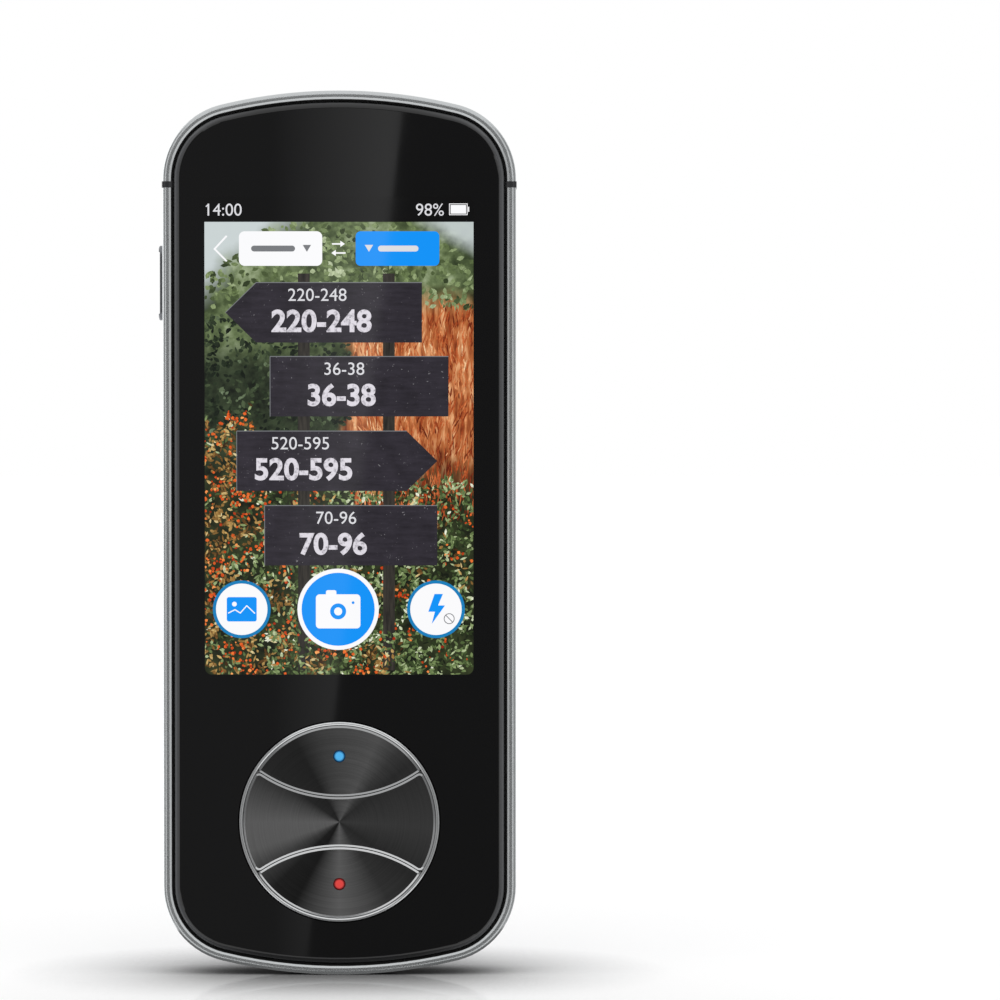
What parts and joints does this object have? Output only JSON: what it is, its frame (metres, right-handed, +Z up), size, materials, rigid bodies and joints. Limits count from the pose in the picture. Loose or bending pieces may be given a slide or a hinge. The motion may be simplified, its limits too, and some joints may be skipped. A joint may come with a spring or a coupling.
{
  "type": "handheld translator",
  "caption": "Pocket voice translator: glass-fronted slab with a tall screen, a round cluster of spun metal keys, a side rocker and a rear camera.",
  "frame": {"origin": "middle of the flat back face", "axes": "+X to the right as the screen is read, +Y out of the back, +Z up the length towards the camera end"},
  "size_m": [0.0517, 0.0122, 0.1272],
  "materials": {
    "housing_metal": "grey-blue anodised and satin-blasted",
    "strip_plastic": "black, satin moulded",
    "polished_trim": "polished bright",
    "cover_glass": "black-backed toughened glass, polished",
    "window_glass": "black-backed glass, polished",
    "lens_glass": "coated optical glass, blue sheen",
    "flash_diffuser": "pale translucent, pyramid texture",
    "key_metal": "dark, spun in circles, polished edges",
    "blue_indicator": "clear blue light guide",
    "red_indicator": "clear red light guide",
    "board": "glass-fibre board, green solder mask",
    "flex_circuit": "polyimide film, amber",
    "connector_plastic": "black moulded",
    "chip_plastic": "black epoxy",
    "steel_sheet": "bright rolled steel sheet",
    "screw_steel": "black-oxide steel",
    "frame_metal": "die-cast, bead-blasted",
    "display_glass": "display panel glass",
    "light_guide": "white backlight stack",
    "battery_foil": "laminated pouch foil",
    "tape": "black adhesive tape",
    "foam": "black closed-cell foam",
    "silicone": "black silicone rubber",
    "mesh_cloth": "fine black acoustic mesh",
    "led_package": "LED with yellow phosphor",
    "wire_red": "insulated leads"
  },
  "bodies": {
    "case": {"rear_housing": "housing_metal", "top_cap": "housing_metal", "antenna_strip": "strip_plastic", "camera_bezel": "polished_trim", "camera_window": "window_glass", "camera_lens_cover": "lens_glass", "camera_lens": "lens_glass", "camera_module": "connector_plastic", "camera_gasket": "foam", "camera_pad": "foam", "camera_flex": "flex_circuit", "flash_lens": "flash_diffuser", "flash_led": "led_package", "front_glass": "cover_glass", "glass_tape": "tape", "display_panel": "display_glass", "display_backlight": "light_guide", "display_tray": "steel_sheet", "display_flex": "flex_circuit", "key_ring": "polished_trim", "key_board": "board", "key_domes": "steel_sheet", "key_leds": "led_package", "key_flex": "flex_circuit", "side_key_bracket": "connector_plastic", "side_key_switches": "steel_sheet", "mid_frame": "frame_metal", "frame_screws": "screw_steel", "board_screws": "screw_steel", "main_board": "board", "shield_cans": "steel_sheet", "board_chips": "chip_plastic", "board_connectors": "connector_plastic", "wifi_antenna": "flex_circuit", "battery": "battery_foil", "battery_tape": "tape", "battery_plug": "connector_plastic", "battery_lead": "wire_red", "link_flex": "flex_circuit", "lower_board": "board", "speaker": "connector_plastic", "speaker_gasket": "foam", "speaker_mesh": "mesh_cloth", "usb_socket": "steel_sheet", "rear_microphone": "steel_sheet", "rear_microphone_boot": "silicone", "voice_microphone": "steel_sheet", "voice_microphone_boot": "silicone"},
    "upper_key": {"upper_key": "key_metal", "upper_key_dot": "blue_indicator"},
    "centre_key": {"centre_key": "key_metal"},
    "lower_key": {"lower_key": "key_metal", "lower_key_dot": "red_indicator"},
    "side_key": {"side_key": "housing_metal"}
  },
  "joints": [
    {"name": "upper_key_press", "type": "slide", "parent": "case", "child": "upper_key", "axis": [0, 1, 0], "range_m": [0, 0.0003], "stiffness_N_per_m": 3000},
    {"name": "centre_key_press", "type": "slide", "parent": "case", "child": "centre_key", "axis": [0, 1, 0], "range_m": [0, 0.0003], "stiffness_N_per_m": 3000},
    {"name": "lower_key_press", "type": "slide", "parent": "case", "child": "lower_key", "axis": [0, 1, 0], "range_m": [0, 0.0003], "stiffness_N_per_m": 3000},
    {"name": "side_key_rock", "type": "hinge", "parent": "case", "child": "side_key", "pos_m": [-0.02292, -0.007, 0.0361], "axis": [0, 1, 0], "range_deg": [-1.5, 1.5], "stiffness_Nm_per_rad": 0.3}
  ]
}
